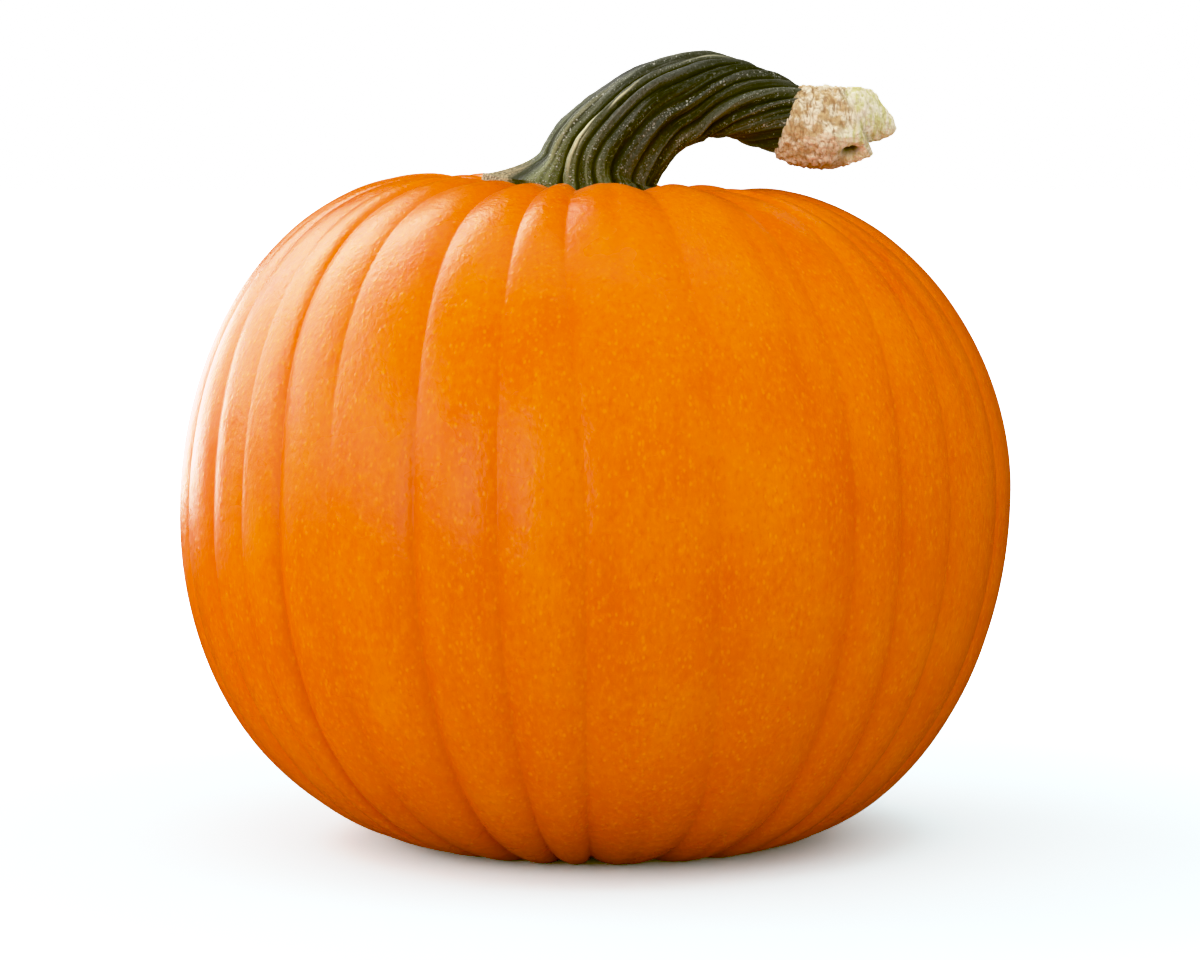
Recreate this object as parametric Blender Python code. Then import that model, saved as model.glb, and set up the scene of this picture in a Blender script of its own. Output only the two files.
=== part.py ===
"""A ripe carving pumpkin with its bent, broken-off stalk.

Two pieces: the ribbed fruit, one solid that rests on the flattened bottoms of its ribs, and the stalk, which
stands on a flared foot in the hollow of the crown, arches over to +X and ends in a torn stub.

Units are metres and +Z is up. The front is -Y, and the origin is on the floor under the middle of the box.
Heights along the fruit's skin are given as a share: 0 at the blossom scar, 1 at the stalk's seat.
"""
import math

import bmesh
import bpy
import numpy as np
from mathutils import Matrix, Vector

MM = 0.001

# Driving dimensions of the fruit
HALF_WIDTH = 151.4 * MM
DEPTH_SHARE = 0.98          # front-to-back size over width
WAIST_HEIGHT = 125.2 * MM   # height of the widest level
CREST_HEIGHT = 240.5 * MM   # highest ring of the crown
CREST_RADIUS = 62.3 * MM
SEAT_HEIGHT = 223.3 * MM    # bottom of the hollow round the stalk
FOOT_RADIUS = 50.8 * MM     # ring of the ribs' lowest points
SCAR_HEIGHT = 13.0 * MM     # blossom scar over the floor
PAD_SINK = 1.3 * MM         # the fruit's own weight flattens the ribs by this much, and lowers the rest

# The fruit grew a little lopsided: each value is added towards +X and taken off towards -X
CREST_LEAN = -2.7 * MM
WAIST_LEAN = 4.5 * MM
FOOT_LEAN = 3.6 * MM
SHOULDER_LEAN = -0.072
HIP_LEAN = -0.026

# Fullness of the two quarter ovals: 2 is a true ellipse, less is flatter
FULLNESS_BELOW = 2.05
FULLNESS_ABOVE = 1.93

# Shares along the skin where the foot ring, the waist and the crest ring lie
FOOT_SHARE = 0.13
WAIST_SHARE = 0.50
CREST_SHARE = 0.86

# Furrows between the ribs, counter-clockwise seen from above, with 0 degrees at the front and +90 at +X:
# azimuth at the waist, swing towards the crown and towards the foot (degrees), depth (mm), and the share of
# that depth left at the waist, then the rise at the shoulder (mm) of the rib that follows
FURROWS = (
    (-75.0, -4.0, 2.0, 2.4, 0.6, 0.0),
    (-63.5, -9.0, 2.5, 2.8, 0.7, 0.0),
    (-54.5, -6.5, 3.5, 1.9, 0.6, 0.3),
    (-46.3, -6.5, 0.5, 3.6, 0.7, 0.4),
    (-37.0, -4.5, 1.0, 2.8, 0.3, 0.3),
    (-24.0, -3.5, 1.5, 3.7, 0.7, 0.0),
    (-12.5, -2.5, 1.5, 3.0, 0.6, 0.4),
    (-1.2, -5.0, -0.2, 3.0, 0.5, 1.1),
    (16.0, -1.0, 2.5, 2.7, 0.5, 0.6),
    (36.0, 0.5, -1.0, 3.3, 0.6, -0.6),
    (44.3, 5.5, 1.5, 3.0, 0.6, 0.0),
    (55.0, 4.0, -1.5, 2.5, 0.5, 0.0),
    (71.0, 4.0, -4.0, 2.8, 0.5, 0.4),
    (83.0, 2.0, -2.0, 2.2, 0.6, 0.0),
    (95.5, -2.0, -1.0, 3.4, 0.7, 0.5),
    (109.0, -1.0, 1.0, 2.9, 0.4, 0.0),
    (118.5, 2.0, 1.5, 2.5, 0.6, -0.3),
    (131.0, 3.0, 0.0, 3.6, 0.7, 0.6),
    (145.5, 1.5, -1.5, 3.0, 0.5, 0.3),
    (154.0, 3.5, -1.0, 2.3, 0.6, 0.0),
    (166.0, 1.0, 1.0, 3.5, 0.6, 0.8),
    (180.5, -2.0, 2.0, 3.1, 0.5, 0.2),
    (191.0, 1.0, 1.0, 2.6, 0.7, 0.0),
    (204.0, 2.5, -1.5, 3.6, 0.6, 0.4),
    (216.5, 1.0, -2.0, 2.9, 0.4, 0.9),
    (226.0, -1.5, 0.0, 2.4, 0.6, 0.0),
    (239.0, -3.0, 1.0, 3.5, 0.7, -0.4),
    (252.5, -1.0, 2.5, 3.0, 0.5, 0.5),
    (262.0, -2.5, 1.5, 2.3, 0.6, 0.2),
    (273.5, -3.0, 0.0, 3.2, 0.6, 0.0),
)
RIB_ROUNDING = 0.75         # power of the sine that makes a rib: 1 is a soft wave, 0.5 a tight pleat
FURROW_END_RADIUS = 55.0 * MM

# The stalk's middle line: x, y, z and radius in mm, from the seat to the torn tip
STALK_LINE = (
    (-1.0, 0.0, 222.5, 23.0),
    (-0.5, 0.0, 234.8, 21.5),
    (2.0, 0.0, 246.3, 20.3),
    (12.5, -0.5, 258.3, 17.8),
    (24.5, -1.0, 266.9, 16.2),
    (38.0, -2.0, 270.6, 15.2),
    (50.0, -3.0, 269.4, 13.9),
    (62.0, -4.0, 265.1, 13.0),
    (71.0, -5.0, 261.4, 12.8),
    (80.0, -5.4, 259.4, 14.6),
    (92.0, -5.9, 259.6, 14.0),
    (100.5, -6.4, 258.9, 10.2),
    (105.5, -7.0, 258.0, 0.0),
)
STALK_RIDGES = 5
RIDGE_HEIGHT = 0.10         # share of the stalk's radius
GROOVE_HEIGHT = 0.035       # share of the radius, twice as many as the ridges
STALK_TWIST = math.radians(85.0)
TOE_REACH = 12.0 * MM       # how far the foot spreads past the stalk
TOE_HEIGHT = 24.0 * MM
LONG_TOE_REACH = 18.0 * MM  # the toe on the -X side, which lies over the crown
LONG_TOE_TOP = 244.0 * MM   # where it starts to leave the stalk
LONG_TOE_SLOPE = 8.0 * MM
TOE_SWELL = 0.30            # the ridges run out into toes
SEAT_GAP = 2.4 * MM         # clearance to the skin: the tallest rib top and the facets' error fit in it
FOOT_RINGS = 6              # rings of the stalk's mesh that lie under its foot

RIB_COLUMNS = 4
FRUIT_RINGS = 26
STALK_COLUMNS = 30
STALK_RINGS = 38


def ease(share):
    """A smooth step from 0 to 1."""
    share = np.clip(share, 0.0, 1.0)
    return share * share * (3.0 - 2.0 * share)


def smooth_skin(azimuth, share):
    """Radius and height of the fruit without its ribs."""
    side = np.sin(azimuth)
    crest = CREST_HEIGHT + CREST_LEAN * side
    waist = WAIST_HEIGHT + WAIST_LEAN * side
    foot_radius = FOOT_RADIUS + FOOT_LEAN * side
    above = FULLNESS_ABOVE + SHOULDER_LEAN * side
    below = FULLNESS_BELOW + HIP_LEAN * side

    hollow = share / FOOT_SHARE
    lower = np.clip((share - FOOT_SHARE) / (WAIST_SHARE - FOOT_SHARE), 0.0, 1.0) * math.pi / 2
    upper = np.clip((share - WAIST_SHARE) / (CREST_SHARE - WAIST_SHARE), 0.0, 1.0) * math.pi / 2
    crown = (1.0 - share) / (1.0 - CREST_SHARE)

    places = [share < FOOT_SHARE, share < WAIST_SHARE, share < CREST_SHARE]
    radius = np.select(places, [
        foot_radius * hollow,
        foot_radius + (HALF_WIDTH - foot_radius) * np.sin(lower) ** (2 / below),
        CREST_RADIUS + (HALF_WIDTH - CREST_RADIUS) * np.cos(upper) ** (2 / above),
    ], CREST_RADIUS * crown)
    height = np.select(places, [
        SCAR_HEIGHT * (1.0 - ease(hollow)),
        waist * (1.0 - np.cos(lower) ** (2 / below)),
        waist + (crest - waist) * np.sin(upper) ** (2 / above),
    ], SEAT_HEIGHT + (crest - SEAT_HEIGHT) * ease(crown))
    return radius, height


def rib_place(turn, share):
    """Azimuth, furrow depth, rise and place across its rib (0 to 1) of a point; turn counts ribs."""
    table = np.array(FURROWS)
    count = len(table)
    rib = np.floor(turn + 1e-6).astype(int)
    across = np.clip(turn - rib, 0.0, 1.0)
    here, after = table[rib % count], table[(rib + 1) % count]
    lap = 360.0 * ((rib + 1) % count == 0)

    upward = ease((share - 0.5) / 0.3)
    downward = ease((0.5 - share) / 0.25)
    left = here[:, 0] + here[:, 1] * upward + here[:, 2] * downward
    right = after[:, 0] + lap + after[:, 1] * upward + after[:, 2] * downward
    azimuth = np.radians(left + (right - left) * across)

    from_waist = np.clip(((share - 0.5) / 0.33) ** 2, 0.0, 1.0)
    depth_left = here[:, 3] * (here[:, 4] + (1.0 - here[:, 4]) * from_waist)
    depth_right = after[:, 3] * (after[:, 4] + (1.0 - after[:, 4]) * from_waist)
    depth = (depth_left + (depth_right - depth_left) * ease(across)) * MM
    rise = here[:, 5] * MM * ease((share - 0.55) / 0.25)
    return azimuth, depth, rise, across


def fruit_points(turn, share):
    """Points on the ribbed skin."""
    azimuth, depth, rise, across = rib_place(turn, share)
    radius, height = smooth_skin(azimuth, share)
    step = 0.004
    radius_low, height_low = smooth_skin(azimuth, np.clip(share - step, 0.0, 1.0))
    radius_high, height_high = smooth_skin(azimuth, np.clip(share + step, 0.0, 1.0))
    along = np.hypot(radius_high - radius_low, height_high - height_low)
    outward = (height_high - height_low) / along
    upward = -(radius_high - radius_low) / along

    bulge = np.sin(math.pi * across) ** RIB_ROUNDING
    offset = (rise * bulge - depth * (1.0 - bulge)) * ease(radius / FURROW_END_RADIUS)
    radius = radius + offset * outward
    height = height + offset * upward
    height = np.maximum(height - PAD_SINK, 0.0)
    return np.stack([radius * np.sin(azimuth), -radius * np.cos(azimuth) * DEPTH_SHARE, height], axis=1)


def hollow_height(x, y):
    """Height of the rib tops in the hollow of the crown, over a point on the plan."""
    depth_y = y / DEPTH_SHARE
    radius = np.hypot(x, depth_y)
    side = x / np.maximum(radius, MM)
    crest = CREST_HEIGHT + CREST_LEAN * side
    return SEAT_HEIGHT + (crest - SEAT_HEIGHT) * ease(radius / CREST_RADIUS) - PAD_SINK


def stalk_line(place):
    """Point, direction and radius on the stalk's middle line; place runs from 0 to 1."""
    knots = np.array(STALK_LINE) * MM
    knots = np.vstack([2 * knots[0] - knots[1], knots, 2 * knots[-1] - knots[-2]])
    position = np.clip(place, 0.0, 1.0) * (len(STALK_LINE) - 1)
    index = np.minimum(position.astype(int), len(STALK_LINE) - 2)
    part = (position - index)[:, None]
    a, b, c, d = (knots[index + k] for k in range(4))
    value = 0.5 * (2 * b + (c - a) * part + (2 * a - 5 * b + 4 * c - d) * part ** 2
                   + (3 * b - a - 3 * c + d) * part ** 3)
    slope = 0.5 * ((c - a) + 2 * (2 * a - 5 * b + 4 * c - d) * part + 3 * (3 * b - a - 3 * c + d) * part ** 2)
    direction = slope[:, :3] / np.linalg.norm(slope[:, :3], axis=1)[:, None]
    return value[:, :3], direction, np.maximum(value[:, 3], 0.0)


def stalk_points(angle, ring):
    """Points on the stalk; the first rings lie under its foot, the last is the torn tip."""
    place = (ring - FOOT_RINGS) / (STALK_RINGS - FOOT_RINGS)
    under = np.clip(ring / FOOT_RINGS, 0.0, 1.0)
    middle, direction, radius = stalk_line(place)
    place = np.clip(place, 0.0, 1.0)

    front = np.array([0.0, -1.0, 0.0]) + direction * direction[:, 1:2]
    front /= np.linalg.norm(front, axis=1)[:, None]
    lower_side = np.cross(direction, front)

    turned = angle - STALK_TWIST * place
    torn = 1.0 - ease((place - 0.72) / 0.1)
    ridge = RIDGE_HEIGHT * np.cos(STALK_RIDGES * turned) + GROOVE_HEIGHT * np.cos(2 * STALK_RIDGES * turned + 1.0)
    radius = radius * (1.0 + ridge * torn)
    spoke = np.cos(angle)[:, None] * front + np.sin(angle)[:, None] * lower_side

    base = middle[:, 2].min()
    climb = np.clip((middle[:, 2] - base) / TOE_HEIGHT, 0.0, 1.0)
    reach = TOE_REACH * (1.0 + TOE_SWELL * np.cos(STALK_RIDGES * turned)) * (1.0 - climb) ** 2.5
    long_toe = LONG_TOE_REACH * np.clip(-spoke[:, 0], 0.0, 1.0) ** 3
    long_toe = long_toe * ease((LONG_TOE_TOP - middle[:, 2]) / LONG_TOE_SLOPE) * (place < 0.3)
    radius = (radius + np.maximum(reach, long_toe)) * under
    point = middle + spoke * radius[:, None]

    lift = hollow_height(point[:, 0], point[:, 1]) + SEAT_GAP - base
    point[:, 2] += lift * (1.0 - climb) ** 2
    return point


def mapped_sphere(name, columns, rings, shape):
    """A UV sphere whose vertices are moved by shape(turn, ring), with turn from 0 to columns."""
    body = bmesh.new()
    bmesh.ops.create_uvsphere(body, u_segments=columns, v_segments=rings, radius=1.0)
    ball = np.array([vertex.co for vertex in body.verts])
    turn = np.round(np.arctan2(ball[:, 1], ball[:, 0]) / (2 * math.pi) * columns) % columns
    ring = np.round((0.5 + np.arcsin(np.clip(ball[:, 2], -1.0, 1.0)) / math.pi) * rings)
    for vertex, place in zip(body.verts, shape(turn, ring)):
        vertex.co = place
    bmesh.ops.recalc_face_normals(body, faces=body.faces)
    bmesh.ops.triangulate(body, faces=body.faces)
    mesh = bpy.data.meshes.new(name)
    body.to_mesh(mesh)
    body.free()
    mesh.shade_smooth()
    return bpy.data.objects.new(name, mesh)


def make_fruit():
    columns = RIB_COLUMNS * len(FURROWS)
    return mapped_sphere("fruit", columns, FRUIT_RINGS,
                         lambda turn, ring: fruit_points(turn / RIB_COLUMNS, ring / FRUIT_RINGS))


def make_stalk():
    return mapped_sphere("stem", STALK_COLUMNS, STALK_RINGS,
                         lambda turn, ring: stalk_points(turn * 2 * math.pi / STALK_COLUMNS, ring))


def paint(item, colour, roughness):
    """Give an object its own plain material."""
    material = bpy.data.materials.new(item.name)
    material.use_nodes = True
    shader = material.node_tree.nodes["Principled BSDF"]
    shader.inputs["Base Color"].default_value = (*colour, 1.0)
    shader.inputs["Roughness"].default_value = roughness
    shader.inputs["Metallic"].default_value = 0.0
    item.data.materials.append(material)


def centre_over_origin(items):
    """Shift the pieces so that the middle of their common box is over the origin."""
    corners = np.array([vertex.co for item in items for vertex in item.data.vertices])
    middle = (corners.min(axis=0) + corners.max(axis=0)) / 2
    for item in items:
        item.data.transform(Matrix.Translation(Vector((-middle[0], -middle[1], 0.0))))


def main():
    for item in list(bpy.data.objects):
        bpy.data.objects.remove(item)
    pumpkin = bpy.data.collections.new("pumpkin")
    bpy.context.scene.collection.children.link(pumpkin)
    fruit = make_fruit()
    stalk = make_stalk()
    paint(fruit, (0.85, 0.22, 0.005), 0.38)
    paint(stalk, (0.035, 0.055, 0.02), 0.7)
    centre_over_origin([fruit, stalk])
    for item in (fruit, stalk):
        pumpkin.objects.link(item)


main()
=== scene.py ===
"""The looks of the pumpkin: a waxy, ribbed orange fruit with a dark, twisted stalk and its torn stub.

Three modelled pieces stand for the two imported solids, in the same place and size: the fruit's skin, the
stalk's bark and the torn end. Units are metres, +Z is up and the front is -Y.
"""
import math

import bpy
import numpy as np
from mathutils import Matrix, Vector, noise

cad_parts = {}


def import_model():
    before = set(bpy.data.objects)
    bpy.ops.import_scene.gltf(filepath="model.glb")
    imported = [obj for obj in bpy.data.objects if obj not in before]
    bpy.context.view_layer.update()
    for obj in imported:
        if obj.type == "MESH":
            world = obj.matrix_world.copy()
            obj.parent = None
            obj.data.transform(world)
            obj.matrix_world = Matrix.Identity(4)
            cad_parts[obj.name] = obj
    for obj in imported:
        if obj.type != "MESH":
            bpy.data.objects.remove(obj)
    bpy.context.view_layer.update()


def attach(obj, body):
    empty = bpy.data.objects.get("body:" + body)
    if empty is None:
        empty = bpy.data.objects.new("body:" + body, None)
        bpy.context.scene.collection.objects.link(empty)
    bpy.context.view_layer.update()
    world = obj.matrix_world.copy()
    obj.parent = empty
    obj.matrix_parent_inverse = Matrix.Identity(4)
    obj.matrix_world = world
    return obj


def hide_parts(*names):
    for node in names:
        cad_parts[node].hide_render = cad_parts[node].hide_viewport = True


MM = 0.001

# Driving dimensions of the fruit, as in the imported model
HALF_WIDTH = 151.4 * MM
DEPTH_SHARE = 0.98          # front-to-back size over width
WAIST_HEIGHT = 125.2 * MM   # height of the widest level
CREST_HEIGHT = 240.5 * MM   # highest ring of the crown
CREST_RADIUS = 62.3 * MM
SEAT_HEIGHT = 223.3 * MM    # bottom of the hollow round the stalk
FOOT_RADIUS = 50.8 * MM     # ring of the ribs' lowest points
SCAR_HEIGHT = 13.0 * MM     # blossom scar over the floor
BUTTON_RADIUS = 8.0 * MM    # the corky button in the middle of the scar
BUTTON_HEIGHT = 2.5 * MM    # how far the button hangs below the scar
PAD_SINK = 1.3 * MM         # the fruit's own weight flattens the ribs by this much, and lowers the rest

# The fruit grew a little lopsided: each value is added towards +X and taken off towards -X. The shoulder's
# and the hip's are added to the fullness above and below the waist
CREST_LEAN = -2.7 * MM
WAIST_LEAN = 4.5 * MM
FOOT_LEAN = 3.6 * MM
SHOULDER_LEAN = -0.072
HIP_LEAN = -0.026

# Fullness of the two quarter ovals: 2 is a true ellipse, less is flatter
FULLNESS_BELOW = 2.05
FULLNESS_ABOVE = 1.93

# Shares along the skin, from the scar (0) to the seat (1), of the foot ring, the waist and the crest ring
FOOT_SHARE = 0.13
WAIST_SHARE = 0.50
CREST_SHARE = 0.86

# Furrows between the ribs, counter-clockwise seen from above, with 0 degrees at the front and +90 at +X:
# azimuth at the waist, swing towards the crown and towards the foot (degrees), depth (mm), and the share of
# that depth left at the waist, then the rise at the shoulder (mm) of the rib that follows
FURROWS = (
    (-75.0, -4.0, 2.0, 2.4, 0.6, 0.0),
    (-63.5, -9.0, 2.5, 2.8, 0.7, 0.0),
    (-54.5, -6.5, 3.5, 1.9, 0.6, 0.3),
    (-46.3, -6.5, 0.5, 3.6, 0.7, 0.4),
    (-37.0, -4.5, 1.0, 2.8, 0.3, 0.3),
    (-24.0, -3.5, 1.5, 3.7, 0.7, 0.0),
    (-12.5, -2.5, 1.5, 3.0, 0.6, 0.4),
    (-1.2, -5.0, -0.2, 3.0, 0.5, 1.1),
    (16.0, -1.0, 2.5, 2.7, 0.5, 0.6),
    (36.0, 0.5, -1.0, 3.3, 0.6, -0.6),
    (44.3, 5.5, 1.5, 3.0, 0.6, 0.0),
    (55.0, 4.0, -1.5, 2.5, 0.5, 0.0),
    (71.0, 4.0, -4.0, 2.8, 0.5, 0.4),
    (83.0, 2.0, -2.0, 2.2, 0.6, 0.0),
    (95.5, -2.0, -1.0, 3.4, 0.7, 0.5),
    (109.0, -1.0, 1.0, 2.9, 0.4, 0.0),
    (118.5, 2.0, 1.5, 2.5, 0.6, -0.3),
    (131.0, 3.0, 0.0, 3.6, 0.7, 0.6),
    (145.5, 1.5, -1.5, 3.0, 0.5, 0.3),
    (154.0, 3.5, -1.0, 2.3, 0.6, 0.0),
    (166.0, 1.0, 1.0, 3.5, 0.6, 0.8),
    (180.5, -2.0, 2.0, 3.1, 0.5, 0.2),
    (191.0, 1.0, 1.0, 2.6, 0.7, 0.0),
    (204.0, 2.5, -1.5, 3.6, 0.6, 0.4),
    (216.5, 1.0, -2.0, 2.9, 0.4, 0.9),
    (226.0, -1.5, 0.0, 2.4, 0.6, 0.0),
    (239.0, -3.0, 1.0, 3.5, 0.7, -0.4),
    (252.5, -1.0, 2.5, 3.0, 0.5, 0.5),
    (262.0, -2.5, 1.5, 2.3, 0.6, 0.2),
    (273.5, -3.0, 0.0, 3.2, 0.6, 0.0),
)
RIB_ROUNDING = 0.85         # power of the sine that makes a rib: 1 is a soft wave, 0.5 a tight pleat
WAIST_ROUNDING = 0.42       # the same at the waist and below, where the ribs are flatter
FURROW_SOFTNESS = 0.07      # rounds the bottom of the furrows
SHOULDER_CALM = 0.50        # share by which the furrows are shallower on the shoulder
COLUMN_CROWDING = 0.72      # draws the mesh's columns towards the furrows
FURROW_END_RADIUS = 55.0 * MM   # nearer to the axis than this the furrows fade out

# How far from the waist things change, as shares along the skin; pairs are where a change starts and ends
CROWN_SWING = 0.30          # above the waist, where a furrow has swung to its place at the crown
FOOT_SWING = 0.25           # below the waist, where a furrow has swung to its place at the foot
FULL_DEPTH = 0.33           # either way, where a furrow is as deep as it gets
CALM_START = (0.0, 0.15)    # the furrows calm down
CALM_END = (0.42, 0.32)     # the same from the crown's side
ROUNDING = (0.16, 0.38)     # the ribs turn from flat to round
RISE = (0.05, 0.30)         # a rib's rise at the shoulder builds up
SLOPE_STEP = 0.004          # step along the skin that its slope is measured over
FURROW_DEEP = 3.0 * MM      # a furrow this deep has the full painted furrow shade
CREASE_DEEP = 2.0 * MM      # and a crease this deep

# Unevenness of the skin: size across (mm), how far it is drawn out upwards, seed and height (mm)
SKIN_LUMPS = (
    (60.0, 2.0, 3.0, 0.7),
    (17.0, 2.5, 7.0, 0.18),
)

# Shallow creases that run over part of a rib: azimuth (degrees), lowest and highest share along the skin,
# depth (mm) and width (degrees)
CREASES = (
    (4.0, 0.64, 0.90, 0.9, 1.5),
    (2.2, 0.40, 0.56, 0.5, 1.2),
    (30.2, 0.54, 0.80, 0.9, 1.6),
    (-18.0, 0.30, 0.52, 0.4, 1.6),
    (9.0, 0.12, 0.34, 0.7, 1.4),
    (26.0, 0.14, 0.36, 0.7, 1.5),
    (64.0, 0.50, 0.82, 0.9, 1.8),
    (102.0, 0.55, 0.86, 0.8, 1.6),
    (138.5, 0.48, 0.84, 1.0, 1.7),
    (173.0, 0.16, 0.44, 0.7, 1.6),
    (197.0, 0.58, 0.88, 0.8, 1.5),
    (246.0, 0.50, 0.82, 0.9, 1.6),
)
CREASE_FADE = 0.35          # share of a crease's length over which each of its ends fades

# The stalk's middle line: x, y, z and radius in mm, from the seat to where it ends inside the torn end
STALK_LINE = (
    (-1.0, 0.0, 222.5, 23.0),
    (-0.5, 0.0, 234.8, 21.5),
    (2.0, 0.0, 246.3, 20.3),
    (12.5, -0.5, 258.3, 17.8),
    (24.5, -1.0, 266.9, 16.2),
    (38.0, -2.0, 270.6, 15.2),
    (50.0, -3.0, 269.4, 13.9),
    (62.0, -4.0, 265.1, 12.8),
    (73.0, -5.0, 260.6, 12.0),
    (80.0, -5.5, 259.2, 9.0),
    (84.0, -5.5, 259.0, 0.0),
)
# Grooves round the stalk: angle (degrees) and depth as a share of the radius, then the rise of the ridge
# that follows, as a share of the radius, and how pale that ridge is from 0 to 1, partly its own colour and
# partly a painted highlight
GROOVES = (
    (-174.0, 0.09, 0.01, 0.10),
    (-153.0, 0.14, 0.04, 0.35),
    (-121.0, 0.08, 0.00, 0.35),
    (-95.0, 0.16, 0.03, 0.10),
    (-46.0, 0.10, 0.03, 0.72),
    (-22.0, 0.16, 0.02, 0.90),
    (-4.0, 0.10, 0.01, 0.15),
    (14.0, 0.16, 0.00, 0.15),
    (38.0, 0.09, 0.03, 0.05),
    (64.0, 0.15, 0.00, 0.20),
    (90.0, 0.18, 0.07, 0.50),
    (122.0, 0.18, 0.00, 0.05),
    (148.0, 0.08, 0.00, 0.20),
)
GROOVE_SOFTNESS = 0.02            # rounds the bottom of the grooves
GROOVE_ROUNDING = 0.8             # power of the curve over a ridge: 1 is a soft wave, 0.5 a tight pleat
RIDGE_WANDER = 0.16               # how far the ridges stray from an even twist, in radians
TWIST = math.radians(95.0)        # the ridges wind this far round the stalk
END_TWIST = math.radians(110.0)   # and this much more close to the torn end
END_TWIST_SPAN = (0.45, 0.85)     # between these shares of the stalk's length
GRAIN_RADIUS = 20.0 * MM          # the bark's patterns are laid out on a straight rod of this radius
GRAIN_LENGTH = 130.0 * MM         # and length, which bends and twists with the stalk
TOES = 5                          # the ridges run out into toes where the stalk meets the fruit
TOE_REACH = 12.0 * MM             # how far the foot spreads past the stalk
TOE_HEIGHT = 24.0 * MM            # how far up the stalk the spread begins
TOE_SWELL = 0.30                  # how far the toes stand out of that spread, as a share of it
TOE_RAGGED = 0.12                 # how uneven their edge is, as a share
TOE_CURVE = 2.5                   # power of the curve from the stalk to the toes
FOOT_END = 0.3                    # no part of the stalk past this share of its length belongs to the foot
FOOT_RELIEF = 0.3                 # share of the relief that is left at the rim of the foot
LONG_TOE_REACH = 18.0 * MM        # the toe on the -X side, which lies over the crown
LONG_TOE_TOP = 244.0 * MM         # where it starts to leave the stalk
LONG_TOE_SLOPE = 8.0 * MM         # how far below that it has its whole reach
FOOT_SINK = 1.6 * MM              # the fine foot dips this far into the skin, so no gap shows

# Bark relief that runs along the ridges: size across (mm), how far it is drawn out along the stalk, seed,
# and height as a share of the stalk's radius
BARK_RELIEF = {
    "cord": (3.2, 12.0, 5.0, 0.065),
    "thread": (1.4, 14.0, 9.0, 0.040),
    "wart": (1.9, 1.6, 2.0, 0.018),
}
BARK_SWELL = 0.03                 # makes up for what the grooves take off the radius

# The torn end: x, y, z of its middle line and its radius, in mm
TORN_LINE = (
    (67.0, -4.5, 262.4, 3.0),
    (70.0, -4.7, 261.5, 12.8),
    (73.5, -5.0, 260.6, 14.4),
    (78.0, -5.3, 259.8, 15.2),
    (84.0, -5.6, 259.8, 15.4),
    (90.5, -5.9, 260.6, 15.0),
    (93.5, -6.0, 261.8, 13.8),
    (96.0, -6.2, 262.6, 11.4),
    (99.5, -6.4, 261.4, 8.9),
    (103.5, -6.7, 260.0, 6.2),
    (107.0, -7.0, 259.0, 3.4),
    (108.8, -7.0, 258.8, 0.0),
)
# Breaks across the torn end: a point on each (x, y, z in mm) and the direction it faces
BREAKS = (
    ((102.0, -6.0, 251.0), (0.50, 0.05, -0.86)),
    ((97.0, -17.5, 259.0), (0.45, -0.88, 0.10)),
    ((86.0, -19.5, 262.0), (0.12, -0.98, 0.20)),
    ((96.0, 6.0, 259.0), (0.55, 0.82, 0.05)),
    ((88.0, -6.0, 273.6), (0.05, -0.10, 0.99)),
)
BREAK_CUT = 0.9                   # share of what stands beyond a break that is cut back
NOTCH = (92.0, -13.5, 249.2)      # a hollow at the bottom of the break, coloured dark as painted shade, in mm
NOTCH_DEPTH = 6.0 * MM
NOTCH_WIDTH = 4.2 * MM
COLLAR_LAP = 2.0 * MM             # how far the collar reaches back under the stalk
COLLAR_SHARE = 0.35               # share of the torn end's length over which that lap fades out
PULP_START = 87.0 * MM            # X where the collar gives way to pale pulp
PULP_RAGGED = 9.0 * MM            # how ragged that edge is
PULP_BLEND = 5.0 * MM

# Heights of the torn end's relief, in mm
LUMP_HEIGHT = 1.5
FOLD_HEIGHT = 0.8
CRUMB_HEIGHT = 0.6
STRING_HEIGHT = 0.9
GRIT_HEIGHT = 0.5
TORN_SINK = 0.6                   # taken off everywhere, so that the relief doesn't make the end thicker
THIN_RADIUS = 6.0 * MM            # where the torn end is thinner than this its relief is weaker

# Studio
WHITE = 2.0                 # brightness that shows as white
FILL = 0.66                 # strength of the even grey light from all round
FLOOR_SIZE = 30.0
PAPER_COLOUR = (1.30, 1.73, 1.84)   # the floor as the camera sees it
FLOOR_BOUNCE = 0.50         # how much of the light the floor throws back onto the pumpkin
GLOW_START = 0.20           # distance from the middle where the floor starts to fade to pure white
GLOW_FULL = 0.55            # and where it is pure white
CAMERA_PLACE = (0.0, -1.5, 0.26)
CAMERA_AIM = (0.0016, 0.0, 0.1308)
LENS = 123.6                # focal length in mm, for a sensor of the next width
SENSOR_WIDTH = 36.0
BLUE_FLOOR = 0.03           # the amount of blue that shows as none
# Points of the tone curve: amount of light as a share of white, and the tone it is shown in
TONE_CURVE = ((0.125, 0.25), (0.25, 0.49), (0.375, 0.685), (0.51, 0.84), (0.625, 0.895), (0.755, 0.935))
LAMP_AIM = Vector((0.0, 0.0, 0.13))
LAMP_DISTANCE = 1.6
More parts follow.
